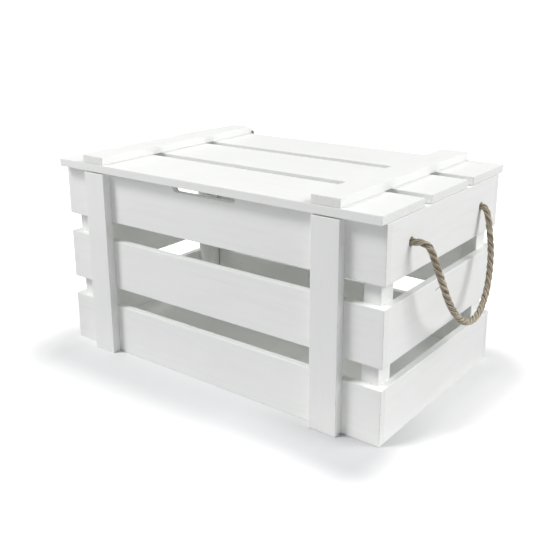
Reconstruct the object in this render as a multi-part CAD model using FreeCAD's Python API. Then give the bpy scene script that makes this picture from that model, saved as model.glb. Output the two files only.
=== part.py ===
import FreeCAD, Part
import math
import os

# Slatted wooden storage crate with a hinged lid and a rope handle at each end.
# Millimetres. +X runs along the length, +Y towards the hinged back, +Z up.
# The origin is on the ground under the middle of the whole outline.

# Driving dimensions of the box
LENGTH = 420.0
BODY_DEPTH = 242.0
SLAT_HEIGHT = 57.0
SLAT_GAP = 21.5
SLAT_T = 8.0
POST_W = 18.0
POST_D = 22.0
POST_DROP = 2.0
FLOOR_T = 8.0
FLOOR_Z = 4.0
FLOOR_PLAY = 0.3
EDGE_R = 0.8
SEAM_TOL = 0.01

# Battens, on the long walls and on the lid
BATTEN_X = 153.0
BATTEN_W = 31.0
BATTEN_T = 10.0
BATTEN_DROP = 1.0

# Lid
LID_PLAY = 0.4
LID_T = 9.0
LID_BATTEN_T = 9.0
LID_BOARD_GAP = 14.0

# Finger notch in the top front slat
NOTCH_W = 84.0
NOTCH_DEPTH = 8.0
NOTCH_R = 4.0

# Butt hinges on the back. The left one sits a little off its batten's middle.
HINGE_L = 30.0
HINGE_SHIFT = {"left": 3.5, "right": 0.0}
LEAF_W = 13.0
LEAF_T = 1.2
LEAF_CORNER_R = 2.0
KNUCKLE_R = 2.4
KNUCKLE_MID = 10.0
KNUCKLE_PLAY = 0.2
KNUCKLE_CLEAR = 0.3
PIN_R = 1.0
PIN_PLAY = 0.05
SCREW_X = 8.5
SCREW_Z = 6.0
SCREW_L = 10.5
SCREW_R = 1.2
SCREW_HEAD_R = 2.4
FIT_PLAY = 0.05

# Brad nails, driven from the inside and sunk below the surface
NAIL_R = 0.8
NAIL_SUNK = 1.2
POCKET_R = 1.2
POST_NAIL_END_L = 22.0
POST_NAIL_SIDE_L = 26.0
BATTEN_NAIL_L = 13.5
LID_NAIL_L = 12.5
FLOOR_NAIL_L = 24.0
POST_NAIL_END_DZ = 14.5
POST_NAIL_SIDE_DZ = 9.0
BATTEN_NAIL_DX = 8.0
BATTEN_NAIL_DZ = 14.0
LID_NAIL_DY = 20.0
FLOOR_NAIL_D = 5.0

# Rope handles
ROPE_R = 3.25
ROPE_HOLE_R = 4.5
ROPE_HOLE_Y = 76.5
ROPE_HOLE_Z = 188.0
ROPE_SWING_OUT = 6.5
ROPE_SWING_Z = 187.5
ROPE_STUB_OUT = 0.8
KNOT_R = 8.5
KNOT_IN = 6.5
TAIL_L = 14.0

# Rope route on the right end: distance out from the end wall, Y, Z.
# It leaves the front hole, hangs in an uneven loop and enters the back hole.
ROPE_ROUTE = [
    (6.5, -76.5, 187.5),
    (14.0, -75.0, 184.5),
    (19.0, -70.5, 173.5),
    (23.0, -65.5, 160.5),
    (26.5, -60.0, 146.0),
    (29.0, -52.0, 129.0),
    (30.5, -37.5, 110.0),
    (30.0, -13.0, 94.5),
    (28.0, 17.0, 90.5),
    (25.5, 43.0, 99.0),
    (23.0, 59.5, 117.5),
    (19.0, 68.0, 142.5),
    (14.5, 72.0, 161.0),
    (10.0, 75.5, 177.0),
    (6.5, 76.5, 187.5),
]
ARC_SHARE = 0.45

# Values worked out from the driving dimensions
HALF_L = LENGTH / 2
BODY_H = 3 * SLAT_HEIGHT + 2 * SLAT_GAP
HINGE_OUT = KNUCKLE_CLEAR + 2 * KNUCKLE_R
Y_MID = -HINGE_OUT / 2
FRONT = Y_MID - BODY_DEPTH / 2
BACK = Y_MID + BODY_DEPTH / 2
LID_FRONT = FRONT - BATTEN_T
LID_BACK = BACK + BATTEN_T
LID_Z = BODY_H + LID_PLAY
LID_TOP = LID_Z + LID_T
LID_BOARD_W = (LID_BACK - LID_FRONT - 2 * LID_BOARD_GAP) / 3
FLOOR_TOP = FLOOR_Z + FLOOR_T
INNER_X = HALF_L - SLAT_T
INNER_FRONT = FRONT + SLAT_T
INNER_BACK = BACK - SLAT_T
HINGE_Y = LID_BACK + KNUCKLE_CLEAR + KNUCKLE_R
HINGE_Z = BODY_H + LID_PLAY / 2
SLAT_LEVELS = {
    "bottom": 0.0,
    "middle": SLAT_HEIGHT + SLAT_GAP,
    "top": 2 * (SLAT_HEIGHT + SLAT_GAP),
}
SIDES = {"left": -1, "right": 1}

X_AXIS = FreeCAD.Vector(1, 0, 0)
Y_AXIS = FreeCAD.Vector(0, 1, 0)
Z_AXIS = FreeCAD.Vector(0, 0, 1)

parts = {}


def vec(x, y, z):
    return FreeCAD.Vector(x, y, z)


def block(x0, y0, z0, x1, y1, z1):
    """A plain box between two corners."""
    return Part.makeBox(x1 - x0, y1 - y0, z1 - z0, vec(x0, y0, z0))


def board(x0, y0, z0, x1, y1, z1, seams=()):
    """A sawn board with its edges eased, except upright ones in the plane of a tight seam."""
    plain = block(x0, y0, z0, x1, y1, z1)
    eased = []
    for edge in plain.Edges:
        box = edge.BoundBox
        upright = box.ZLength > box.XLength + box.YLength
        if not (upright and any(abs(box.Center.y - y) < SEAM_TOL for y in seams)):
            eased.append(edge)
    return plain.makeFillet(EDGE_R, eased)


def rod(radius, start, direction, length):
    return Part.makeCylinder(radius, length, start, direction)


def nail(start, direction, length):
    """The nail, and the hole it takes: a pocket at the surface, then a close bore."""
    head = start + direction * NAIL_SUNK
    steel = rod(NAIL_R, head, direction, length)
    pocket = rod(POCKET_R, start - direction * 0.5, direction, NAIL_SUNK + 0.5)
    bore = rod(NAIL_R + FIT_PLAY, head, direction, length + FIT_PLAY)
    return steel, pocket.fuse(bore)


def drive_nails(group, starts, direction, length, wood):
    """Drives one nail at each start and cuts its hole in the named boards."""
    steels = []
    for start in starts:
        steel, hole = nail(start, direction, length)
        steels.append(steel)
        for name in wood:
            if parts[name].BoundBox.intersect(hole.BoundBox):
                parts[name] = parts[name].cut(hole)
    old = parts[group].Solids if group in parts else []
    parts[group] = Part.makeCompound(old + steels)


def make_walls():
    """Three slats on each of the four walls. The long slats cover the end slats' ends."""
    seams = (INNER_FRONT, INNER_BACK)
    for level, z in SLAT_LEVELS.items():
        top = z + SLAT_HEIGHT
        parts[f"front_slat_{level}"] = board(-HALF_L, FRONT, z, HALF_L, INNER_FRONT, top, seams)
        parts[f"back_slat_{level}"] = board(-HALF_L, INNER_BACK, z, HALF_L, BACK, top, seams)
        for side, sign in SIDES.items():
            inner, outer = sorted((sign * INNER_X, sign * HALF_L))
            parts[f"{side}_end_slat_{level}"] = board(
                inner, INNER_FRONT, z, outer, INNER_BACK, top, seams
            )


def cut_notch():
    """A shallow finger notch with rounded corners in the middle of the top front slat."""
    half = NOTCH_W / 2
    low = BODY_H - NOTCH_DEPTH
    high = BODY_H + 1
    r = NOTCH_R
    k = r * (1 - math.sqrt(0.5))
    y = FRONT - 1

    def at(x, z):
        return vec(x, y, z)

    edges = [
        Part.LineSegment(at(-half, high), at(-half, low + r)),
        Part.Arc(at(-half, low + r), at(-half + k, low + k), at(-half + r, low)),
        Part.LineSegment(at(-half + r, low), at(half - r, low)),
        Part.Arc(at(half - r, low), at(half - k, low + k), at(half, low + r)),
        Part.LineSegment(at(half, low + r), at(half, high)),
        Part.LineSegment(at(half, high), at(-half, high)),
    ]
    face = Part.Face(Part.Wire([edge.toShape() for edge in edges]))
    cutter = face.extrude(vec(0, SLAT_T + 2, 0))
    parts["front_slat_top"] = parts["front_slat_top"].cut(cutter)


def post_box(side, wall):
    """Low and high corners, in plan, of one corner post."""
    x0, x1 = sorted((SIDES[side] * INNER_X, SIDES[side] * (INNER_X - POST_W)))
    if wall == "front":
        return x0, INNER_FRONT, x1, INNER_FRONT + POST_D
    return x0, INNER_BACK - POST_D, x1, INNER_BACK


def make_posts_and_floor():
    parts["floor_panel"] = board(
        -INNER_X + FLOOR_PLAY,
        INNER_FRONT + FLOOR_PLAY,
        FLOOR_Z,
        INNER_X - FLOOR_PLAY,
        INNER_BACK - FLOOR_PLAY,
        FLOOR_TOP,
    )
    for wall in ("front", "back"):
        for side in SIDES:
            x0, y0, x1, y1 = post_box(side, wall)
            parts[f"{wall}_{side}_post"] = board(x0, y0, FLOOR_TOP, x1, y1, BODY_H - POST_DROP)


def make_wall_battens():
    for side, sign in SIDES.items():
        x0 = sign * BATTEN_X - BATTEN_W / 2
        x1 = x0 + BATTEN_W
        top = BODY_H - BATTEN_DROP
        parts[f"front_{side}_batten"] = board(x0, LID_FRONT, 0, x1, FRONT, top)
        parts[f"back_{side}_batten"] = board(x0, BACK, 0, x1, LID_BACK, top)


def make_lid():
    """Three boards lengthwise, held by two battens across their top."""
    step = LID_BOARD_W + LID_BOARD_GAP
    for n, name in enumerate(("front", "middle", "back")):
        y0 = LID_FRONT + n * step
        parts[f"lid_board_{name}"] = board(-HALF_L, y0, LID_Z, HALF_L, y0 + LID_BOARD_W, LID_TOP)
    for side, sign in SIDES.items():
        x0 = sign * BATTEN_X - BATTEN_W / 2
        parts[f"lid_{side}_batten"] = board(
            x0, LID_FRONT, LID_TOP, x0 + BATTEN_W, LID_BACK, LID_TOP + LID_BATTEN_T
        )


def make_nails():
    for side, sign in SIDES.items():
        inward = sign * (INNER_X - POST_W)
        for wall in ("front", "back"):
            x0, y0, x1, y1 = post_box(side, wall)
            x_mid = (x0 + x1) / 2
            y_mid = (y0 + y1) / 2
            facing = -1 if wall == "front" else 1
            post = f"{wall}_{side}_post"
            y_inner = y1 if wall == "front" else y0
            for level, z in SLAT_LEVELS.items():
                z_mid = z + SLAT_HEIGHT / 2
                ends = [vec(inward, y_mid, z_mid + d * POST_NAIL_END_DZ) for d in (-1, 1)]
                drive_nails(
                    f"{side}_end_nails",
                    ends,
                    X_AXIS * sign,
                    POST_NAIL_END_L,
                    [post, f"{side}_end_slat_{level}"],
                )
                longs = [vec(x_mid, y_inner, z_mid + d * POST_NAIL_SIDE_DZ) for d in (-1, 1)]
                drive_nails(
                    f"{wall}_wall_nails",
                    longs,
                    Y_AXIS * facing,
                    POST_NAIL_SIDE_L,
                    [post, f"{wall}_slat_{level}"],
                )
                y_slat = INNER_FRONT if wall == "front" else INNER_BACK
                across = [
                    vec(
                        sign * BATTEN_X + d * BATTEN_NAIL_DX,
                        y_slat,
                        z_mid + d * BATTEN_NAIL_DZ,
                    )
                    for d in (-1, 1)
                ]
                drive_nails(
                    "batten_nails",
                    across,
                    Y_AXIS * facing,
                    BATTEN_NAIL_L,
                    [f"{wall}_slat_{level}", f"{wall}_{side}_batten"],
                )
            below = [
                vec(x_mid + d * FLOOR_NAIL_D, y_mid + d * FLOOR_NAIL_D, FLOOR_Z) for d in (-1, 1)
            ]
            drive_nails("floor_nails", below, Z_AXIS, FLOOR_NAIL_L, ["floor_panel", post])
        for n, name in enumerate(("front", "middle", "back")):
            y_board = LID_FRONT + LID_BOARD_W / 2 + n * (LID_BOARD_W + LID_BOARD_GAP)
            under = [
                vec(sign * BATTEN_X + d * BATTEN_NAIL_DX, y_board + d * LID_NAIL_DY, LID_Z)
                for d in (-1, 1)
            ]
            drive_nails(
                "lid_nails",
                under,
                Z_AXIS,
                LID_NAIL_L,
                [f"lid_board_{name}", f"lid_{side}_batten"],
            )


def leaf_plate(x_mid, up):
    """A leaf lying on the back face, above the pin line (up = 1) or below it (up = -1)."""
    half = HINGE_L / 2
    near = KNUCKLE_R + KNUCKLE_CLEAR
    low, high = sorted((HINGE_Z + up * near, HINGE_Z + up * LEAF_W))
    plate = block(x_mid - half, LID_BACK, low, x_mid + half, LID_BACK + LEAF_T, high)
    far_z = HINGE_Z + up * LEAF_W
    corners = [
        edge
        for edge in plate.Edges
        if abs(edge.Length - LEAF_T) < 1e-6 and abs(edge.CenterOfMass.z - far_z) < 1e-6
    ]
    return plate.makeFillet(LEAF_CORNER_R, corners)


def knuckle(x0, x1, up):
    """One knuckle with the tab that joins it to its leaf."""
    roll = rod(KNUCKLE_R, vec(x0, HINGE_Y, HINGE_Z), X_AXIS, x1 - x0)
    reach = HINGE_Z + up * (KNUCKLE_R + KNUCKLE_CLEAR + 0.5)
    low, high = sorted((HINGE_Z, reach))
    return roll.fuse(block(x0, LID_BACK, low, x1, LID_BACK + LEAF_T, high))


def hinge_screw(x, z):
    """A countersunk wood screw with a cross recess, head flush with the leaf."""
    face = LID_BACK + LEAF_T
    inward = Y_AXIS * -1
    head = Part.makeCone(SCREW_HEAD_R, SCREW_R, LEAF_T, vec(x, face, z), inward)
    shank_l = SCREW_L - LEAF_T - SCREW_R
    shank = rod(SCREW_R, vec(x, face - LEAF_T, z), inward, shank_l)
    tip = Part.makeCone(SCREW_R, 0.1, SCREW_R, vec(x, face - LEAF_T - shank_l, z), inward)
    screw = head.fuse([shank, tip])
    arm = SCREW_HEAD_R * 0.6
    half_w = SCREW_HEAD_R * 0.14
    deep = LEAF_T * 0.8
    cross = block(x - arm, face - deep, z - half_w, x + arm, face + 1, z + half_w).fuse(
        block(x - half_w, face - deep, z - arm, x + half_w, face + 1, z + arm)
    )
    return screw.cut(cross)


def screw_seat(x, z):
    """The countersunk hole that a hinge screw takes through leaf and wood."""
    face = LID_BACK + LEAF_T
    inward = Y_AXIS * -1
    sink = Part.makeCone(
        SCREW_HEAD_R + FIT_PLAY, SCREW_R + FIT_PLAY, LEAF_T, vec(x, face, z), inward
    )
    bore = rod(SCREW_R + FIT_PLAY, vec(x, face, z), inward, SCREW_L + FIT_PLAY)
    return sink.fuse(bore)


def make_hinges():
    mid = KNUCKLE_MID / 2
    half = HINGE_L / 2
    bore_r = PIN_R + PIN_PLAY
    screws = {"crate": [], "lid": []}
    for side, sign in SIDES.items():
        x = sign * BATTEN_X + HINGE_SHIFT[side]
        bore = rod(bore_r, vec(x - half - 1, HINGE_Y, HINGE_Z), X_AXIS, HINGE_L + 2)
        lower = leaf_plate(x, -1).fuse(
            [
                knuckle(x - half, x - mid - KNUCKLE_PLAY, -1),
                knuckle(x + mid + KNUCKLE_PLAY, x + half, -1),
            ]
        )
        upper = leaf_plate(x, 1).fuse(knuckle(x - mid, x + mid, 1))
        wood = {"crate": [f"back_{side}_batten"], "lid": ["lid_board_back"]}
        leaves = {"crate": lower.cut(bore), "lid": upper.cut(bore)}
        for owner, up in (("crate", -1), ("lid", 1)):
            z = HINGE_Z + up * SCREW_Z
            for dx in (-SCREW_X, SCREW_X):
                seat = screw_seat(x + dx, z)
                leaves[owner] = leaves[owner].cut(seat)
                for name in wood[owner]:
                    parts[name] = parts[name].cut(seat)
                screws[owner].append(hinge_screw(x + dx, z))
            parts[f"{side}_hinge_{owner}_leaf"] = leaves[owner]
        parts[f"{side}_hinge_pin"] = rod(
            PIN_R, vec(x - half, HINGE_Y, HINGE_Z), X_AXIS, HINGE_L
        )
    for owner, made in screws.items():
        parts[f"hinge_{owner}_screws"] = Part.makeCompound(made)


def smooth_path(points):
    """Straight runs joined by tangent arcs. Also gives each arc's radius."""
    edges = []
    radii = []
    start = points[0]
    for before, corner, after in zip(points, points[1:], points[2:]):
        back = before - corner
        ahead = after - corner
        reach = ARC_SHARE * min(back.Length, ahead.Length)
        half_turn = (math.pi - back.getAngle(ahead)) / 2
        radius = reach / math.tan(half_turn)
        radii.append(radius)
        back.normalize()
        ahead.normalize()
        first = corner + back * reach
        last = corner + ahead * reach
        inward = back + ahead
        inward.normalize()
        centre_dist = math.hypot(radius, reach)
        middle = corner + inward * (centre_dist - radius)
        edges.append(Part.LineSegment(start, first).toShape())
        edges.append(Part.Arc(first, middle, last).toShape())
        start = last
    edges.append(Part.LineSegment(start, points[-1]).toShape())
    return Part.Wire(edges), radii


def rope_tube(points):
    path, radii = smooth_path(points)
    ring = Part.Wire([Part.makeCircle(ROPE_R, points[0], points[1] - points[0])])
    tube = path.makePipeShell([ring], True, True)
    expected = math.pi * ROPE_R**2 * path.Length
    print(f"rope loop {path.Length:.1f} mm long, tube volume {tube.Volume / expected:.4f} of ideal")
    print("arc radii in mm:", ", ".join(f"{r:.1f}" for r in radii))
    return tube


def right_to_side(shape, side):
    """The left handle is the right one turned half round about the crate's middle."""
    if side == "right":
        return shape
    turned = shape.copy()
    turned.rotate(vec(0, Y_MID, 0), Z_AXIS, 180)
    return turned


def make_rope_handles():
    route = [vec(HALF_L + out, Y_MID + y, z) for out, y, z in ROPE_ROUTE]
    loop = rope_tube(route)
    for end in (route[0], route[-1]):
        loop = loop.fuse(Part.makeSphere(ROPE_R, end))
    loop = loop.removeSplitter()
    ends = {}
    for wall, sign in (("front", -1), ("back", 1)):
        y = Y_MID + sign * ROPE_HOLE_Y
        centre = vec(INNER_X - KNOT_IN, y, ROPE_SWING_Z)
        inside = block(0, y - 20, 0, INNER_X, y + 20, BODY_H)
        ball = Part.makeSphere(KNOT_R, centre).common(inside)
        stub = rod(ROPE_R, centre, X_AXIS, HALF_L + ROPE_STUB_OUT - centre.x)
        tail = rod(ROPE_R, centre, Z_AXIS * -1, KNOT_R + TAIL_L)
        ends[wall] = ball.fuse([stub, tail])
        hole = rod(ROPE_HOLE_R, vec(INNER_X - 1, y, ROPE_HOLE_Z), X_AXIS, SLAT_T + 2)
        for side in SIDES:
            name = f"{side}_end_slat_top"
            parts[name] = parts[name].cut(right_to_side(hole, side))
    for side in SIDES:
        parts[f"{side}_rope_loop"] = right_to_side(loop, side)
        for wall, end in ends.items():
            place = wall if side == "right" else {"front": "back", "back": "front"}[wall]
            parts[f"{side}_rope_{place}_knot"] = right_to_side(end, side)


def write_parts():
    os.makedirs("parts", exist_ok=True)
    for name, shape in parts.items():
        if not shape.isValid():
            raise ValueError(f"{name} is not a valid shape")
        shape.exportStep(f"parts/{name}.step")
    print(f"{len(parts)} nodes written")


make_walls()
cut_notch()
make_posts_and_floor()
make_wall_battens()
make_lid()
make_nails()
make_hinges()
make_rope_handles()
write_parts()
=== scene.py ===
import math
import random

import bpy
from mathutils import Matrix, Vector, noise


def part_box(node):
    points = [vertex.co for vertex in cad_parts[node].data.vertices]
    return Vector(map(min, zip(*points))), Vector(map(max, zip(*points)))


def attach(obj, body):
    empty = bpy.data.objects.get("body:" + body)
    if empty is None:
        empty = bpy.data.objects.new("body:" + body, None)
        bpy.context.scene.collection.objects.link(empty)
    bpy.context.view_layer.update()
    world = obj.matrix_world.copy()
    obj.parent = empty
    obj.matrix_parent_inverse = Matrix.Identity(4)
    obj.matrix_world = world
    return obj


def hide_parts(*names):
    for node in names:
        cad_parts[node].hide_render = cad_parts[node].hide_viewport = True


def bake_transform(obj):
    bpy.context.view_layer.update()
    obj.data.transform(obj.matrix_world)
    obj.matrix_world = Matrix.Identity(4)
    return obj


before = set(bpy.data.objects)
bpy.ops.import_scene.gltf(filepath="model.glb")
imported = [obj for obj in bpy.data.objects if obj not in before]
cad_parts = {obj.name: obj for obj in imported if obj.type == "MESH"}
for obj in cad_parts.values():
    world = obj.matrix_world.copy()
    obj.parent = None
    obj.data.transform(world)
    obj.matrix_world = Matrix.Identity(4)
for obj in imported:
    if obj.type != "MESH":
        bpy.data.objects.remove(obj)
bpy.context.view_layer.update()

# Slatted crate, painted white, with a hinged lid and a jute rope handle at each end.
# Metres. +X along the length, +Y towards the hinged back, +Z up.

MM = 0.001
END_WALL = 0.210
WALL_T = 0.008
Y_MID = -0.00255


def new_object(name, data):
    """An object of the scene that holds the data."""
    made = bpy.data.objects.new(name, data)
    bpy.context.scene.collection.objects.link(made)
    return made


# ---------------------------------------------------------------- camera

CAMERA_AZIMUTH = math.radians(38.26)
CAMERA_ELEVATION = math.radians(16.67)
CAMERA_ROLL = math.radians(-0.49)
CAMERA_PLACE = Vector((0.52276, -0.69727, 0.40037))
CAMERA_SENSOR = 36.0
CAMERA_LENS = 51.65
CAMERA_SHIFT = (0.0343, -0.0794)
CAMERA_NEAR = 0.01


def make_camera():
    data = bpy.data.cameras.new("camera")
    data.sensor_width = CAMERA_SENSOR
    data.lens = CAMERA_LENS
    data.shift_x, data.shift_y = CAMERA_SHIFT
    data.clip_start = CAMERA_NEAR
    data.dof.use_dof = False
    back = Vector((
        math.sin(CAMERA_AZIMUTH) * math.cos(CAMERA_ELEVATION),
        -math.cos(CAMERA_AZIMUTH) * math.cos(CAMERA_ELEVATION),
        math.sin(CAMERA_ELEVATION),
    ))
    level = Vector((math.cos(CAMERA_AZIMUTH), math.sin(CAMERA_AZIMUTH), 0.0))
    above = back.cross(level)
    right = math.cos(CAMERA_ROLL) * level + math.sin(CAMERA_ROLL) * above
    up = math.cos(CAMERA_ROLL) * above - math.sin(CAMERA_ROLL) * level
    camera = new_object("camera", data)
    turn = Matrix((right, up, back)).transposed().to_4x4()
    camera.matrix_world = Matrix.Translation(CAMERA_PLACE) @ turn
    bpy.context.scene.camera = camera


make_camera()


# ---------------------------------------------------------------- ropes

ROPE_D = 6.5 * MM
HOLE_Y = 76.5 * MM
ROPE_Z = 187.5 * MM

LINE_RESOLUTION = 16

# Three strands, laid left-handed, each with its middle STRAND_OUT from the rope's
STRANDS = 3
ROPE_LAY = 25.0 * MM
ROPE_STEP = 0.5 * MM
STRAND_R = 2.28 * MM
STRAND_OUT = 1.20 * MM
STRAND_SIDES = 24
WANDER = 0.10
WANDER_RATE = 60

# Each strand's yarns, and how uneven its surface is
YARNS = 5
YARN_TURN = -32.0 * MM
YARN_SWELL = 0.04
YARN_SWELL_RATE = 110
FUZZ = 0.14 * MM
FUZZ_RATE = 900

# Loose fibres
HAIRS = 1500
HAIR_LONGEST = 2.6 * MM
HAIR_BENDS = 4
HAIR_SIDES = 3
LONG_HAIRS = 60
LONG_HAIR_LONGEST = 5.5 * MM
STRAY_START = (0.0240, -0.0622, 0.1462)
STRAY_HEADING = Vector((-0.62, -0.49, -0.55))
STRAY_LENGTH = 5.5 * MM
STRAY_R = 0.28 * MM
STRAY_BENDS = 6
STRAY_SIDES = 5

# Distance out from the right end wall, Y from the crate's middle, Z.
# Knot, hole, the hanging loop, hole, knot.
ROPE_ROUTE = [
    (-0.0145, -0.0765, 0.1875),
    (-0.0080, -0.0762, 0.1872),
    (0.0000, -0.0758, 0.1872),
    (0.0075, -0.0762, 0.1886),
    (0.0165, -0.0750, 0.1872),
    (0.0205, -0.0715, 0.1755),
    (0.0233, -0.0660, 0.1605),
    (0.0262, -0.0605, 0.1460),
    (0.0285, -0.0530, 0.1290),
    (0.0305, -0.0375, 0.1100),
    (0.0300, -0.0130, 0.0945),
    (0.0280, 0.0170, 0.0900),
    (0.0250, 0.0415, 0.0990),
    (0.0220, 0.0580, 0.1175),
    (0.0185, 0.0675, 0.1425),
    (0.0140, 0.0720, 0.1610),
    (0.0098, 0.0757, 0.1760),
    (0.0055, 0.0767, 0.1873),
    (0.0000, 0.0765, 0.1880),
    (-0.0080, 0.0765, 0.1880),
    (-0.0145, 0.0765, 0.1875),
]


def on_side(point, side):
    """A point given as (out from the right end wall, Y from the middle, Z), on either end.
    The left end is the right one turned half round."""
    out, y, z = point
    if side == "left":
        return Vector((-END_WALL - out, Y_MID - y, z))
    return Vector((END_WALL + out, Y_MID + y, z))


def smooth_line(points):
    """Points along the NURBS spline that has these control points."""
    data = bpy.data.curves.new("route", "CURVE")
    data.dimensions = "3D"
    data.resolution_u = LINE_RESOLUTION
    spline = data.splines.new("NURBS")
    spline.points.add(len(points) - 1)
    for control, point in zip(spline.points, points):
        control.co = (*point, 1.0)
    spline.order_u = 3
    spline.use_endpoint_u = True
    holder = bpy.data.objects.new("route", data)
    mesh = bpy.data.meshes.new_from_object(holder)
    line = [v.co.copy() for v in mesh.vertices]
    bpy.data.meshes.remove(mesh)
    bpy.data.objects.remove(holder)
    bpy.data.curves.remove(data)
    return line


def evenly(line, step):
    """The line again with points one step apart, and the distance of each along it."""
    along = [0.0]
    for a, b in zip(line, line[1:]):
        along.append(along[-1] + (b - a).length)
    count = max(2, round(along[-1] / step))
    points, at, k = [], [], 0
    for i in range(count + 1):
        s = along[-1] * i / count
        while k < len(along) - 2 and along[k + 1] < s:
            k += 1
        share = (s - along[k]) / max(along[k + 1] - along[k], 1e-9)
        points.append(line[k].lerp(line[k + 1], min(1.0, share)))
        at.append(s)
    return points, at


def frames_along(points):
    """A (tangent, side, other side) triple at each point that doesn't twist along the line."""
    tangents = []
    for i in range(len(points)):
        a, b = points[max(0, i - 1)], points[min(len(points) - 1, i + 1)]
        tangents.append((b - a).normalized())
    side = tangents[0].orthogonal().normalized()
    made = []
    for i, t in enumerate(tangents):
        if i:
            side = tangents[i - 1].rotation_difference(t) @ side
        side = (side - t * side.dot(t)).normalized()
        made.append((t, side, t.cross(side)))
    return made


class MeshData:
    """Points, faces, how far out of the rope each point is, and each face corner's place
    along and round a strand."""

    def __init__(self):
        self.points, self.faces, self.spots, self.outs = [], [], [], []

    def sweep(self, centres, along, radius_at, sides, v_offset=0.0, core=None):
        """A closed tube round a line of centres; radius_at(s, angle) is its radius. core is the
        middle of the rope that it is part of."""
        frames = frames_along(centres)
        first = len(self.points)
        for c, s, (_, n, b) in zip(centres, along, frames):
            for j in range(sides):
                a = 2 * math.pi * j / sides
                r = radius_at(s, a)
                self.points.append(c + (n * math.cos(a) + b * math.sin(a)) * r)
        for i in range(len(centres) - 1):
            for j in range(sides):
                k = (j + 1) % sides
                low, high = first + i * sides, first + (i + 1) * sides
                self.faces.append((low + j, low + k, high + k, high + j))
                v0, v1 = j / sides + v_offset, (j + 1) / sides + v_offset
                s0, s1 = along[i], along[i + 1]
                self.spots.append(((s0, v0), (s0, v1), (s1, v1), (s1, v0)))
        for i, flip in ((0, True), (len(centres) - 1, False)):
            ring = [first + i * sides + j for j in range(sides)]
            tip = len(self.points)
            self.points.append(centres[i])
            for j in range(sides):
                a, b = ring[j], ring[(j + 1) % sides]
                self.faces.append((b, a, tip) if flip else (a, b, tip))
                v = j / sides + v_offset
                self.spots.append(((along[i], v),) * 3)
        if core is None:
            self.outs += [ROPE_D / 2] * (len(self.points) - first)
        else:
            for i, middle in enumerate(core):
                low = first + i * sides
                self.outs += [(p - middle).length for p in self.points[low:low + sides]]
            self.outs += [0.0, 0.0]

    def to_object(self, name):
        mesh = bpy.data.meshes.new(name)
        mesh.from_pydata(self.points, [], self.faces)
        layer = mesh.uv_layers.new(name="strand")
        flat = [value for spots in self.spots for spot in spots for value in spot]
        layer.data.foreach_set("uv", flat)
        mesh.attributes.new("out", "FLOAT", "POINT").data.foreach_set("value", self.outs)
        mesh.polygons.foreach_set("use_smooth", [True] * len(mesh.polygons))
        mesh.update()
        return new_object(name, mesh)


def lay_strands(made, line, seed, step=ROPE_STEP):
    """Three strands laid left-handed round the line, each of a few yarns twisted the other way.
    k and seed only keep the strands' and the ropes' unevenness apart."""
    centres, along = evenly(line, step)
    frames = frames_along(centres)
    for k in range(STRANDS):
        strand = []
        for c, s, (_, n, b) in zip(centres, along, frames):
            a = -2 * math.pi * s / ROPE_LAY + 2 * math.pi * k / STRANDS
            wander = noise.noise(Vector((s * WANDER_RATE, k * 7.1 + seed, 0.0)))
            out = STRAND_OUT * (1 + WANDER * wander)
            strand.append(c + (n * math.cos(a) + b * math.sin(a)) * out)

        def radius_at(s, a, k=k):
            turn = 2 * math.pi * s / YARN_TURN
            yarn = abs(math.cos((a - turn) * YARNS / 2))
            swell = noise.noise(Vector((s * YARN_SWELL_RATE, k * 3.7 + seed, 2.0)))
            fuzz = noise.noise(Vector((s * FUZZ_RATE, a * 2.2, k * 9.0 + seed)))
            return STRAND_R * (0.88 + 0.13 * yarn + YARN_SWELL * swell) + FUZZ * fuzz

        made.sweep(strand, along, radius_at, STRAND_SIDES, v_offset=k, core=centres)
    return centres, frames


def add_hairs(made, centres, frames, count, rng, longest=HAIR_LONGEST):
    """Loose fibres that leave the rope at a slant and curl."""
    for _ in range(count):
        i = rng.randrange(2, len(centres) - 2)
        t, n, b = frames[i]
        a = rng.uniform(0, 2 * math.pi)
        outward = n * math.cos(a) + b * math.sin(a)
        around = t.cross(outward)
        start = centres[i] + outward * ROPE_D * rng.uniform(0.38, 0.46)
        lean = t * rng.choice((-1, 1)) * rng.uniform(0.5, 2.4) + around * rng.uniform(-1.2, 1.2)
        heading = (outward * rng.uniform(0.25, 1.0) + lean).normalized()
        curl = (outward * rng.uniform(-1.0, 0.6) + around * rng.uniform(-1, 1)).normalized()
        length = longest * rng.uniform(0.3, 1.0) ** 1.5
        thick = rng.uniform(0.03, 0.06) * MM
        shares = [j / HAIR_BENDS for j in range(HAIR_BENDS + 1)]
        line = [start + heading * length * u + curl * length * 0.35 * u * u for u in shares]
        made.sweep(
            line, [u * MM for u in shares], lambda s, a: thick * (1 - 0.75 * s / MM),
            HAIR_SIDES, v_offset=rng.uniform(0, 50),
        )


def add_stray(made, side):
    """One long loose fibre, which takes the full darkening of the furrows."""
    first = len(made.points)
    start = on_side(STRAY_START, side)
    drop = Vector((0.0, 0.0, -0.25 * STRAY_LENGTH))
    shares = [j / STRAY_BENDS for j in range(STRAY_BENDS + 1)]
    line = [start + STRAY_HEADING * STRAY_LENGTH * u + drop * u ** 2 for u in shares]
    made.sweep(
        line, [u * MM for u in shares], lambda s, a: STRAY_R * (1 - 0.5 * s / MM), STRAY_SIDES
    )
    # an out of 0 gives the fibre the furrows' full darkening
    made.outs[first:] = [0.0] * (len(made.points) - first)


KNOT_IN = 6.5 * MM
KNOT_RING = 5.2 * MM
KNOT_BULGE = 2.9 * MM
KNOT_POINTS = 15
KNOT_FROM = math.radians(28)
KNOT_GAP = math.radians(58)
KNOT_STEP = 0.6 * MM
KNOT_HAIRS = 260
TAIL_DROP = 22.0 * MM


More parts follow.
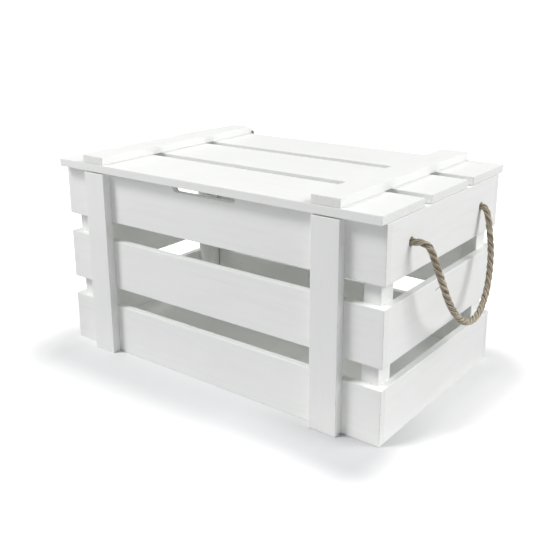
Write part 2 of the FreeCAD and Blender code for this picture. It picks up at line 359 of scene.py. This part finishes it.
def knot_line(side, y):
    """The line of an overhand knot drawn up against the inside of the end wall, with its tail.
    It is a trefoil, open between its start and its end by KNOT_GAP."""
    centre_in = WALL_T + KNOT_IN
    spots = [(-WALL_T * 0.6, 0.0, 0.0), (-WALL_T - 1.5 * MM, 0.0, 0.0)]
    for i in range(KNOT_POINTS):
        t = KNOT_FROM + (2 * math.pi - KNOT_GAP) * i / (KNOT_POINTS - 1)
        wide = KNOT_RING + KNOT_BULGE * math.cos(3 * t)
        spots.append((
            -centre_in + KNOT_BULGE * math.sin(3 * t),
            wide * math.cos(2 * t),
            wide * math.sin(2 * t),
        ))
    spots.append((-centre_in - 1.0 * MM, 3.0 * MM, -9.0 * MM))
    spots.append((-centre_in + 0.5 * MM, 1.0 * MM, -15.0 * MM))
    spots.append((-centre_in + 1.0 * MM, 0.5 * MM, -TAIL_DROP))
    return [on_side((out, y + dy, ROPE_Z + dz), side) for out, dy, dz in spots]


def make_rope(side, seed):
    rng = random.Random(seed)
    line = smooth_line([on_side(p, side) for p in ROPE_ROUTE])
    made = MeshData()
    centres, frames = lay_strands(made, line, seed)
    rope = made.to_object(f"{side}_rope")
    hairs = MeshData()
    add_hairs(hairs, centres, frames, HAIRS, rng)
    add_hairs(hairs, centres, frames, LONG_HAIRS, rng, longest=LONG_HAIR_LONGEST)
    add_stray(hairs, side)
    fibres = hairs.to_object(f"{side}_rope_fibres")
    for piece in (rope, fibres):
        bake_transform(piece)
    knots = []
    for wall, y in (("front", -HOLE_Y), ("back", HOLE_Y)):
        place = wall if side == "right" else {"front": "back", "back": "front"}[wall]
        tied = MeshData()
        knot_centres, knot_frames = lay_strands(
            tied, smooth_line(knot_line(side, y)), seed + 5.0 + y, step=KNOT_STEP
        )
        add_hairs(tied, knot_centres, knot_frames, KNOT_HAIRS, rng)
        knot = tied.to_object(f"{side}_rope_{place}_overhand_knot")
        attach(knot, "crate")
        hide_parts(f"{side}_rope_{place}_knot")
        knots.append(knot)
    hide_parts(f"{side}_rope_loop")
    return [rope, fibres, *knots]


ropes = make_rope("right", 11) + make_rope("left", 23)


# ---------------------------------------------------------------- materials

def node(tree, kind, inputs=None, **settings):
    """One shader node, its settings, and its inputs as values or as other nodes' sockets."""
    made = tree.nodes.new(kind)
    for key, value in settings.items():
        setattr(made, key, value)
    for key, value in (inputs or {}).items():
        if isinstance(value, bpy.types.NodeSocket):
            tree.links.new(value, made.inputs[key])
        else:
            made.inputs[key].default_value = value
    return made


def calc(tree, operation, *values):
    inputs = dict(enumerate(values))
    return node(tree, "ShaderNodeMath", inputs, operation=operation).outputs[0]


def calc_vector(tree, operation, *values):
    inputs = dict(enumerate(values))
    made = node(tree, "ShaderNodeVectorMath", inputs, operation=operation)
    return made.outputs["Value" if operation in ("LENGTH", "DISTANCE") else "Vector"]


def total(tree, first, *others):
    for other in others:
        first = calc(tree, "ADD", first, other)
    return first


def scaled(tree, value, factor):
    return calc(tree, "MULTIPLY", value, factor)


def axes_of(tree, vector):
    """A vector's three parts."""
    return node(tree, "ShaderNodeSeparateXYZ", {0: vector}).outputs


def vector_of(tree, *axes):
    """A vector from its three parts."""
    return node(tree, "ShaderNodeCombineXYZ", dict(enumerate(axes))).outputs[0]


def ramp(tree, value, low, high, to_low=0.0, to_high=1.0):
    """value's range from low to high taken smoothly to another range."""
    return node(
        tree, "ShaderNodeMapRange",
        {0: value, 1: low, 2: high, 3: to_low, 4: to_high},
        interpolation_type="SMOOTHSTEP",
    ).outputs[0]


def mix_colour(tree, share, a, b):
    made = node(tree, "ShaderNodeMix", {0: share, 6: a, 7: b}, data_type="RGBA")
    return made.outputs[2]


def speckle(tree, vector, scale, detail, rough):
    return node(
        tree, "ShaderNodeTexNoise",
        {"Vector": vector, "Scale": scale, "Detail": detail, "Roughness": rough},
    ).outputs[0]


def new_material(name):
    material = bpy.data.materials.new(name)
    material.use_nodes = True
    tree = material.node_tree
    shader = tree.nodes["Principled BSDF"]
    return material, tree, shader


def add_bump(tree, shader, height, strength, distance):
    bump = node(
        tree, "ShaderNodeBump", {"Height": height, "Strength": strength, "Distance": distance}
    )
    tree.links.new(bump.outputs[0], shader.inputs["Normal"])


PAINT = (0.914, 0.921, 0.907, 1.0)
PAINT_THIN = (0.80, 0.80, 0.76, 1.0)
BARE_WOOD = (0.52, 0.40, 0.26, 1.0)
# A near-black painted shadow line on the back posts, along their joint with the back boards, and
# its width
SEAM_PAINTED_SHADOW = (0.05, 0.045, 0.04, 1.0)
SEAM_W = 1.7 * MM
THIN_PAINT_W = 1.5 * MM
CHIPPED_W = 0.9 * MM
EDGE_CORE = 0.2 * MM
AXES = "XYZ"


def distance_to_edge(tree, place, low, high):
    """How far a place on a board is from the nearest edge between two of its faces. low and
    high are the board's corners."""
    middle = [(l + h) / 2 for l, h in zip(low, high)]
    half = [(h - l) / 2 for l, h in zip(low, high)]
    off = calc_vector(tree, "ABSOLUTE", calc_vector(tree, "SUBTRACT", place, middle))
    dx, dy, dz = axes_of(tree, calc_vector(tree, "SUBTRACT", half, off))
    nearer = calc(tree, "MINIMUM", dx, dy)
    farther = calc(tree, "MAXIMUM", dx, dy)
    return calc(tree, "MAXIMUM", nearer, calc(tree, "MINIMUM", farther, dz))


def growth_rings(tree, along, across_a, across_b, pith, ring_gap):
    """1 in the dark late wood of each year's ring, 0 between. The pith may lean along the board."""
    slow = vector_of(
        tree, calc(tree, "MULTIPLY", along, 0.22), calc(tree, "ADD", across_a, pith[2]), across_b
    )
    wobble = speckle(tree, slow, 16.0, 2.0, 0.5)
    lean_a = calc(tree, "MULTIPLY_ADD", along, pith[3], pith[0])
    a = calc(tree, "SUBTRACT", across_a, lean_a)
    b = calc(tree, "SUBTRACT", across_b, pith[1])
    square = calc(tree, "ADD", calc(tree, "MULTIPLY", a, a), calc(tree, "MULTIPLY", b, b))
    radius = calc(tree, "MULTIPLY_ADD", wobble, 0.016, calc(tree, "SQRT", square))
    ring = calc(tree, "FRACT", calc(tree, "DIVIDE", radius, ring_gap))
    off_late = calc(tree, "ABSOLUTE", calc(tree, "SUBTRACT", ring, 0.82))
    return ramp(tree, off_late, 0.30, 0.02)


def seam_painted_shadow(tree, place, normal, seam_y, on_right):
    """1 in the painted shadow line beside seam_y, on a post's face that looks along X into the box.
    on_right says that the post stands at the box's right end."""
    off_seam = calc(tree, "ABSOLUTE", calc(tree, "SUBTRACT", axes_of(tree, place)[1], seam_y))
    inwards = calc(tree, "MULTIPLY", axes_of(tree, normal)[0], -1.0 if on_right else 1.0)
    shadow_line = ramp(tree, off_seam, SEAM_W, SEAM_W * 0.6)
    return calc(tree, "MULTIPLY", shadow_line, ramp(tree, inwards, 0.5, 0.9))


def painted_wood(name, grain, pith, tone, low, high, ring_gap, seam_y):
    """Thin matt white paint over sawn softwood whose grain runs along one axis.
    low and high are the board's corners, for the wear along its edges. seam_y is where a back
    post meets the back boards, for a near-black painted shadow line along that joint, or None."""
    material, tree, shader = new_material(name)
    spot = node(tree, "ShaderNodeTexCoord")
    place, normal = spot.outputs["Object"], spot.outputs["Normal"]
    i = AXES.index(grain)
    axes = axes_of(tree, place)
    along, across_a, across_b = axes[i], axes[(i + 1) % 3], axes[(i + 2) % 3]
    late = growth_rings(tree, along, across_a, across_b, pith, ring_gap)

    stretched = vector_of(
        tree, calc(tree, "MULTIPLY", along, 0.03), calc(tree, "ADD", across_a, pith[2]), across_b
    )
    brushed = vector_of(tree, calc(tree, "MULTIPLY", along, 0.12), across_a, across_b)
    fibre = speckle(tree, stretched, 950.0, 3.0, 0.6)
    streak = speckle(tree, stretched, 210.0, 3.0, 0.6)
    brush = speckle(tree, brushed, 330.0, 2.0, 0.5)
    chips = speckle(tree, brushed, 420.0, 4.0, 0.7)
    patch = speckle(tree, place, 14.0, 3.0, 0.5)
    stipple = speckle(tree, place, 1400.0, 2.0, 0.6)

    # 1 on the sawn ends of the board, 0 on its faces
    facing = axes_of(tree, normal)[i]
    end_grain = ramp(tree, calc(tree, "ABSOLUTE", facing), 0.6, 0.9)

    edge = distance_to_edge(tree, place, low, high)
    near_edge = ramp(tree, edge, THIN_PAINT_W, EDGE_CORE)
    thin = calc(tree, "MULTIPLY", near_edge, ramp(tree, chips, 0.50, 0.66))
    at_edge = ramp(tree, edge, CHIPPED_W, EDGE_CORE)
    chipped = calc(tree, "MULTIPLY", at_edge, ramp(tree, chips, 0.665, 0.70))

    shade = total(
        tree,
        scaled(tree, late, 0.07),
        ramp(tree, streak, 0.50, 0.80, 0.0, 0.16),
        ramp(tree, fibre, 0.52, 0.80, 0.0, 0.20),
        ramp(tree, patch, 0.35, 0.75, 0.0, 0.08),
    )
    shade = calc(tree, "MULTIPLY", shade, ramp(tree, end_grain, 0.0, 1.0, 1.0, 3.0))
    shade = total(tree, shade, scaled(tree, thin, 0.55), scaled(tree, end_grain, 0.12))
    paint = tuple(min(1.0, c * tone) for c in PAINT[:3]) + (1.0,)
    colour = mix_colour(tree, calc(tree, "MINIMUM", shade, 1.0), paint, PAINT_THIN)
    colour = mix_colour(tree, scaled(tree, chipped, 0.55), colour, BARE_WOOD)
    # a painted shadow line along the post's joint with the back boards
    if seam_y is not None:
        shadow_line = seam_painted_shadow(tree, place, normal, seam_y, (low[0] + high[0]) / 2 > 0)
        colour = mix_colour(tree, shadow_line, colour, SEAM_PAINTED_SHADOW)
    tree.links.new(colour, shader.inputs["Base Color"])

    rough = ramp(tree, brush, 0.25, 0.75, 0.46, 0.62)
    rough = calc(tree, "MULTIPLY_ADD", end_grain, 0.14, rough)
    tree.links.new(rough, shader.inputs["Roughness"])
    shader.inputs["Specular IOR Level"].default_value = 0.42

    relief = total(
        tree,
        scaled(tree, late, 0.35),
        scaled(tree, streak, -0.9),
        scaled(tree, fibre, -0.55),
        scaled(tree, brush, 0.35),
        scaled(tree, stipple, 0.16),
    )
    relief = calc(tree, "MULTIPLY", relief, ramp(tree, end_grain, 0.0, 1.0, 1.0, 1.8))
    relief = calc(tree, "SUBTRACT", relief, scaled(tree, chipped, 1.2))
    add_bump(tree, shader, relief, 0.6, 0.16 * MM)
    return material


def steel(name, colour, rough):
    """Dull zinc-plated or bright drawn steel with rubbing marks along X and faint blotches."""
    material, tree, shader = new_material(name)
    place = node(tree, "ShaderNodeTexCoord").outputs["Object"]
    marks = calc_vector(tree, "MULTIPLY", place, (0.06, 1.0, 1.0))
    scratch = speckle(tree, marks, 2600.0, 3.0, 0.6)
    blotch = speckle(tree, place, 240.0, 4.0, 0.6)
    dark = tuple(c * 0.62 for c in colour[:3]) + (1.0,)
    blotched = mix_colour(tree, ramp(tree, blotch, 0.35, 0.7), colour, dark)
    rubbed = ramp(tree, scratch, 0.3, 0.7, rough - 0.08, rough + 0.14)
    tree.links.new(blotched, shader.inputs["Base Color"])
    tree.links.new(rubbed, shader.inputs["Roughness"])
    shader.inputs["Metallic"].default_value = 1.0
    add_bump(tree, shader, scratch, 0.35, 0.05 * MM)
    return material


STRAW = (0.88, 0.80, 0.65, 1.0)
JUTE_BROWN = (0.43, 0.352, 0.262, 1.0)
JUTE_DARK_FIBRE_AND_SHADE = (0.13, 0.093, 0.060, 1.0)
# How far out of the rope the furrows' dust and painted shade begin, and where they are darkest
FURROW_OUT = 3.20 * MM
FURROW_BOTTOM = 2.70 * MM


def jute(name):
    """Spun jute: coarse fibres along each strand, straw to brown, with dust and painted shade
    darkening the furrows, and painted shade in the grooves between the yarns.
    """
    material, tree, shader = new_material(name)
    uv = node(tree, "ShaderNodeUVMap", uv_map="strand")
    s, v, _ = axes_of(tree, uv.outputs[0])
    # the fibres of a strand run with its yarns, round it once every YARN_TURN
    turned = calc(tree, "SUBTRACT", v, calc(tree, "DIVIDE", s, YARN_TURN))
    angle = calc(tree, "MULTIPLY", turned, 2 * math.pi)
    round_sine = calc(tree, "MULTIPLY", calc(tree, "SINE", angle), 4.5)
    round_cosine = calc(tree, "MULTIPLY", calc(tree, "COSINE", angle), 4.5)
    # the 13.7 keeps one strand's fibres from repeating on the next
    strand = calc(tree, "FLOOR", v)
    fibres = vector_of(
        tree,
        calc(tree, "MULTIPLY", s, 150.0),
        round_sine,
        calc(tree, "MULTIPLY_ADD", strand, 13.7, round_cosine),
    )
    fine = speckle(tree, fibres, 3.4, 3.0, 0.75)
    coarse = speckle(tree, fibres, 1.3, 4.0, 0.75)
    bold = speckle(tree, fibres, 0.62, 2.0, 0.6)
    place = node(tree, "ShaderNodeTexCoord").outputs["Object"]
    patch = speckle(tree, place, 90.0, 3.0, 0.6)
    out = node(tree, "ShaderNodeAttribute", attribute_name="out").outputs["Fac"]
    # dust and painted shade deepening into the furrows between strands; painted shade in the
    # grooves between yarns
    furrow_dust_and_shade = ramp(tree, out, FURROW_OUT, FURROW_BOTTOM)
    wave = calc(tree, "COSINE", calc(tree, "MULTIPLY", turned, math.pi * YARNS))
    yarn_groove_shade = ramp(tree, calc(tree, "ABSOLUTE", wave), 0.50, 0.0, 0.0, 0.65)
    colour = mix_colour(tree, ramp(tree, fine, 0.40, 0.54), JUTE_DARK_FIBRE_AND_SHADE, JUTE_BROWN)
    for share, tint in (
        (ramp(tree, coarse, 0.46, 0.60, 0.0, 0.95), STRAW),
        (ramp(tree, bold, 0.50, 0.60, 0.0, 0.68), STRAW),
        (ramp(tree, bold, 0.47, 0.36, 0.0, 0.60), JUTE_DARK_FIBRE_AND_SHADE),
        (ramp(tree, patch, 0.40, 0.68, 0.0, 0.15), JUTE_BROWN),
        (yarn_groove_shade, JUTE_DARK_FIBRE_AND_SHADE),
        (scaled(tree, furrow_dust_and_shade, 0.78), JUTE_DARK_FIBRE_AND_SHADE),
    ):
        colour = mix_colour(tree, share, colour, tint)
    tree.links.new(colour, shader.inputs["Base Color"])
    shader.inputs["Roughness"].default_value = 0.86
    shader.inputs["Specular IOR Level"].default_value = 0.18
    shader.inputs["Sheen Weight"].default_value = 0.20
    shader.inputs["Sheen Roughness"].default_value = 0.5
    shader.inputs["Sheen Tint"].default_value = (0.85, 0.76, 0.62, 1.0)
    add_bump(tree, shader, calc(tree, "MULTIPLY_ADD", fine, 0.7, coarse), 0.9, 0.35 * MM)
    return material


def grain_axis(name):
    """The way a board's grain runs: along its length."""
    low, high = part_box(name)
    lengths = [h - l for l, h in zip(low, high)]
    return AXES[lengths.index(max(lengths))]


def dress(piece, material):
    """Gives a piece the material, as its only one."""
    piece.data.materials.clear()
    piece.data.materials.append(material)


def board_paint(name, rng):
    """Paint for one board, whose growth rings come from a pith of its own, outside the board."""
    low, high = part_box(name)
    axis = grain_axis(name)
    i = AXES.index(axis)
    a, b = (i + 1) % 3, (i + 2) % 3
    far = rng.uniform(0.035, 0.11) * rng.choice((-1, 1))
    near = rng.uniform(-0.02, 0.02)
    thin_first = (high[a] - low[a]) < (high[b] - low[b])
    middle = [(l + h) / 2 for l, h in zip(low, high)]
    pith_a = middle[a] + (far if thin_first else near)
    pith_b = middle[b] + (near if thin_first else far)
    pith = (pith_a, pith_b, rng.uniform(0, 5), rng.uniform(-0.03, 0.03))
    seam_y = high[1] if name.startswith("back") and name.endswith("post") else None
    return painted_wood(
        f"paint_{name}", axis, pith, rng.uniform(0.985, 1.01), low, high,
        ring_gap=rng.uniform(2.6, 4.6) * MM, seam_y=seam_y,
    )


def dress_all():
    rng = random.Random(7)
    hinge_steel = steel("zinc_plated_steel", (0.46, 0.45, 0.43, 1.0), 0.38)
    nail_steel = steel("bright_nail_steel", (0.34, 0.32, 0.30, 1.0), 0.42)
    rope = jute("jute")
    for name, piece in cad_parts.items():
        if "rope" in name:
            dress(piece, rope)
        elif "hinge" in name:
            dress(piece, hinge_steel)
        elif "nails" in name:
            dress(piece, nail_steel)
        else:
            dress(piece, board_paint(name, rng))
    for piece in ropes:
        dress(piece, rope)


dress_all()


# ---------------------------------------------------------------- floor and light

FLOOR_REACH = 60.0

# A painted shadow pool round the crate: rounded, wider at the front and darkest beyond its front
# right corner. Its middle and half size
SHADOW_POOL_MIDDLE = (0.0115, Y_MID - 0.039, 0.0)
SHADOW_POOL_HALF = (0.190, 0.120, 0.0)
SHADOW_POOL_DARKEST = (0.205, Y_MID - 0.147, 0.0)
# Colours of the painted shadow on the floor: at its darkest, and beside the crate
FLOOR_SHADOW_DARKEST = (0.62, 0.62, 0.63, 1.0)
FLOOR_SHADOW_BESIDE = (0.82, 0.82, 0.83, 1.0)
# Past the pool the floor shows brighter than white. Far away it is painted light that whitens over
# the lamps' cast shadows
FLOOR_NEAR = (1.05, 1.05, 1.05, 1.0)
FLOOR_AWAY_PAINTED_LIGHT = (1.62, 1.62, 1.62, 1.0)
# What the floor bounces: lighter beside the crate, which throws more light onto the crate's lower
# boards
BOUNCE_BESIDE = (0.72, 0.72, 0.73, 1.0)
BOUNCE_AWAY = (0.50, 0.50, 0.51, 1.0)


def split_by_camera_ray(tree, lit, seen):
    """Shows the camera one shader, and lights everything else with the other."""
    path = node(tree, "ShaderNodeLightPath")
    return node(
        tree, "ShaderNodeMixShader",
        {0: path.outputs["Is Camera Ray"], 1: lit.outputs[0], 2: seen.outputs[0]},
    )


def make_floor():
    """A white floor with a painted shadow pool round the crate, and painted light further out that
    whitens over the lamps' cast shadows. It shows whiter to the camera than the light that it
    bounces.
    """
    mesh = bpy.data.meshes.new("floor")
    r = FLOOR_REACH
    mesh.from_pydata([(-r, -r, 0), (r, -r, 0), (r, r, 0), (-r, r, 0)], [], [(0, 1, 2, 3)])
    floor = new_object("floor", mesh)
    material, tree, shader = new_material("floor_painted_shadow")
    place = node(tree, "ShaderNodeTexCoord").outputs["Object"]
    off = calc_vector(tree, "ABSOLUTE", calc_vector(tree, "SUBTRACT", place, SHADOW_POOL_MIDDLE))
    past = calc_vector(tree, "SUBTRACT", off, SHADOW_POOL_HALF)
    past = calc_vector(tree, "MAXIMUM", past, (0.0, 0.0, 0.0))
    past = calc_vector(tree, "LENGTH", past)
    # the painted shadow pool fades out past its edge, and the painted light comes in further out
    away = ramp(tree, past, 0.005, 0.060)
    from_shadow_darkest = ramp(tree, calc_vector(tree, "DISTANCE", place, SHADOW_POOL_DARKEST), 0.02, 0.15)
    colour = mix_colour(tree, from_shadow_darkest, FLOOR_SHADOW_DARKEST, FLOOR_SHADOW_BESIDE)
    colour = mix_colour(tree, away, colour, FLOOR_NEAR)
    colour = mix_colour(tree, ramp(tree, past, 0.045, 0.100), colour, FLOOR_AWAY_PAINTED_LIGHT)
    bounce = mix_colour(tree, away, BOUNCE_BESIDE, BOUNCE_AWAY)
    tree.nodes.remove(shader)
    seen = node(tree, "ShaderNodeBsdfDiffuse", {"Color": colour})
    bounced = node(tree, "ShaderNodeBsdfDiffuse", {"Color": bounce})
    mixed = split_by_camera_ray(tree, bounced, seen)
    tree.links.new(mixed.outputs[0], tree.nodes["Material Output"].inputs["Surface"])
    dress(floor, material)


def area_light(name, place, target, side, power):
    """A square soft box that looks at the target."""
    data = bpy.data.lights.new(name, "AREA")
    data.shape = "RECTANGLE"
    data.size = data.size_y = side
    data.energy = power
    light = new_object(name, data)
    light.location = place
    away = Vector(place) - Vector(target)
    light.rotation_euler = away.to_track_quat("Z", "Y").to_euler()


def sun(name, towards, share, spread):
    """Even light from one direction. share is how bright it makes a white sheet that faces it."""
    data = bpy.data.lights.new(name, "SUN")
    data.energy = math.pi * share
    data.angle = math.radians(spread)
    light = new_object(name, data)
    light.rotation_euler = Vector(towards).to_track_quat("Z", "Y").to_euler()


BACKDROP = (1.0, 1.0, 1.0, 1.0)
BACKDROP_STRENGTH = 1.05
SKY = (0.985, 0.995, 1.0, 1.0)
SKY_STRENGTH = 0.24


def make_light():
    sun("left_front_light", towards=(-0.95, -1.10, 1.80), share=0.52, spread=18)
    sun("right_back_light", towards=(1.35, 0.60, 1.12), share=0.65, spread=34)
    area_light(
        "left_box", place=(-0.70, -0.72, 0.68), target=(-0.1, -0.1, 0.1), side=0.4, power=2.3
    )
    area_light(
        "right_box", place=(0.72, 0.50, 0.56), target=(0.20, 0.08, 0.16), side=0.3, power=0.6
    )
    world = bpy.data.worlds.new("studio")
    world.use_nodes = True
    tree = world.node_tree
    tree.nodes.clear()
    seen = node(
        tree, "ShaderNodeBackground", {"Color": BACKDROP, "Strength": BACKDROP_STRENGTH}
    )
    lit = node(tree, "ShaderNodeBackground", {"Color": SKY, "Strength": SKY_STRENGTH})
    mixed = split_by_camera_ray(tree, lit, seen)
    node(tree, "ShaderNodeOutputWorld", {0: mixed.outputs[0]})
    bpy.context.scene.world = world


make_floor()
make_light()
scene = bpy.context.scene
scene.view_settings.view_transform = "Standard"
scene.view_settings.look = "None"
scene.cycles.diffuse_bounces = 10
scene.cycles.max_bounces = 16
